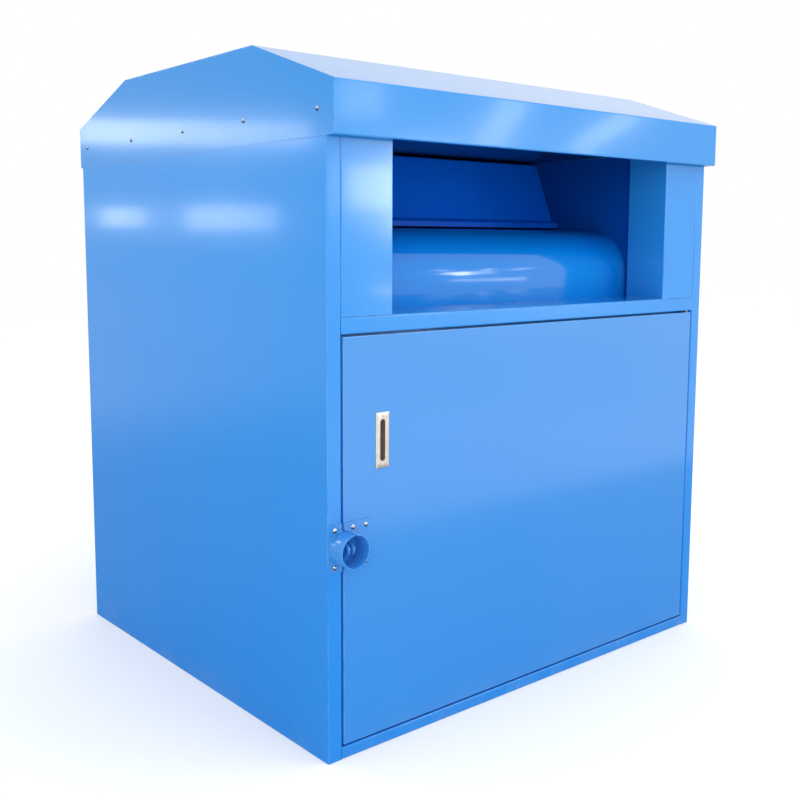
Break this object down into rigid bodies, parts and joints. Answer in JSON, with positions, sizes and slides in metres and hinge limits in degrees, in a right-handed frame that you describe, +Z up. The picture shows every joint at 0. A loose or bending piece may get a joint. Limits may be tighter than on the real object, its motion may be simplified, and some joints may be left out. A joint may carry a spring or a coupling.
{
  "type": "book drop box",
  "caption": "Free-standing sheet-metal deposit box with a pitched roof cap, a bull-nosed deposit mouth with a lift flap, and a wide side-hinged emptying door with a padlock guard.",
  "frame": {"origin": "centre of the four floor-anchor holes, on the ground plane under the box", "axes": "+X to the right when facing the front, +Y to the rear, +Z up"},
  "size_m": [1.516, 1.377, 1.741],
  "materials": {
    "cabinet_paint": "gloss azure powder coat",
    "roof_paint": "gloss azure powder coat",
    "door_paint": "gloss azure powder coat",
    "guard_paint": "gloss azure powder coat",
    "flap_paint": "gloss azure powder coat",
    "rivet_metal": "bright dome head",
    "handle_metal": "satin stamped plate",
    "screw_steel": "plain",
    "pivot_steel": "bright zinc plate",
    "bush_plastic": "black acetal",
    "stop_rubber": "matt black"
  },
  "bodies": {
    "cabinet": {"side_panel_left": "cabinet_paint", "side_panel_right": "cabinet_paint", "back_panel": "cabinet_paint", "floor_panel": "cabinet_paint", "bottom_rail": "cabinet_paint", "header_rail": "cabinet_paint", "filler_panel_left": "cabinet_paint", "filler_panel_right": "cabinet_paint", "chute_side_left": "cabinet_paint", "chute_side_right": "cabinet_paint", "chute_sill": "cabinet_paint", "chute_ramp": "cabinet_paint", "chute_ceiling": "cabinet_paint", "back_stiffener_lower": "cabinet_paint", "back_stiffener_upper": "cabinet_paint", "side_stiffener_left": "cabinet_paint", "side_stiffener_right": "cabinet_paint", "roof_skin": "roof_paint", "roof_gable_left": "roof_paint", "roof_gable_right": "roof_paint", "roof_rib_left": "roof_paint", "roof_rib_right": "roof_paint", "guard_half_jamb": "guard_paint", "padlock_lug_jamb": "guard_paint", "roof_rivets_left": "rivet_metal", "roof_rivets_right": "rivet_metal", "guard_rivets_jamb": "rivet_metal", "back_rivets": "rivet_metal", "door_pivot_pins": "pivot_steel", "door_thrust_washer": "bush_plastic", "flap_bushes": "bush_plastic", "flap_rests": "stop_rubber", "door_bumpers": "stop_rubber"},
    "door": {"door_panel": "door_paint", "door_stiffener_lower": "door_paint", "door_stiffener_middle": "door_paint", "door_stiffener_upper": "door_paint", "door_pivot_bushes": "bush_plastic", "pull_handle": "handle_metal", "handle_screws": "screw_steel", "guard_half_door": "guard_paint", "padlock_lug_door": "guard_paint", "guard_rivets_door": "rivet_metal"},
    "flap": {"flap_panel": "flap_paint", "flap_rod": "pivot_steel", "flap_rod_clips": "pivot_steel", "flap_ribs": "flap_paint"}
  },
  "joints": [
    {"name": "door_swing", "type": "hinge", "parent": "cabinet", "child": "door", "pos_m": [0.6925, -0.649, 0.538], "axis": [0, 0, 1], "range_deg": [0, 110]},
    {"name": "flap_lift", "type": "hinge", "parent": "cabinet", "child": "flap", "pos_m": [0, -0.1174, 1.5183], "axis": [-1, 0, 0], "range_deg": [0, 60]}
  ]
}
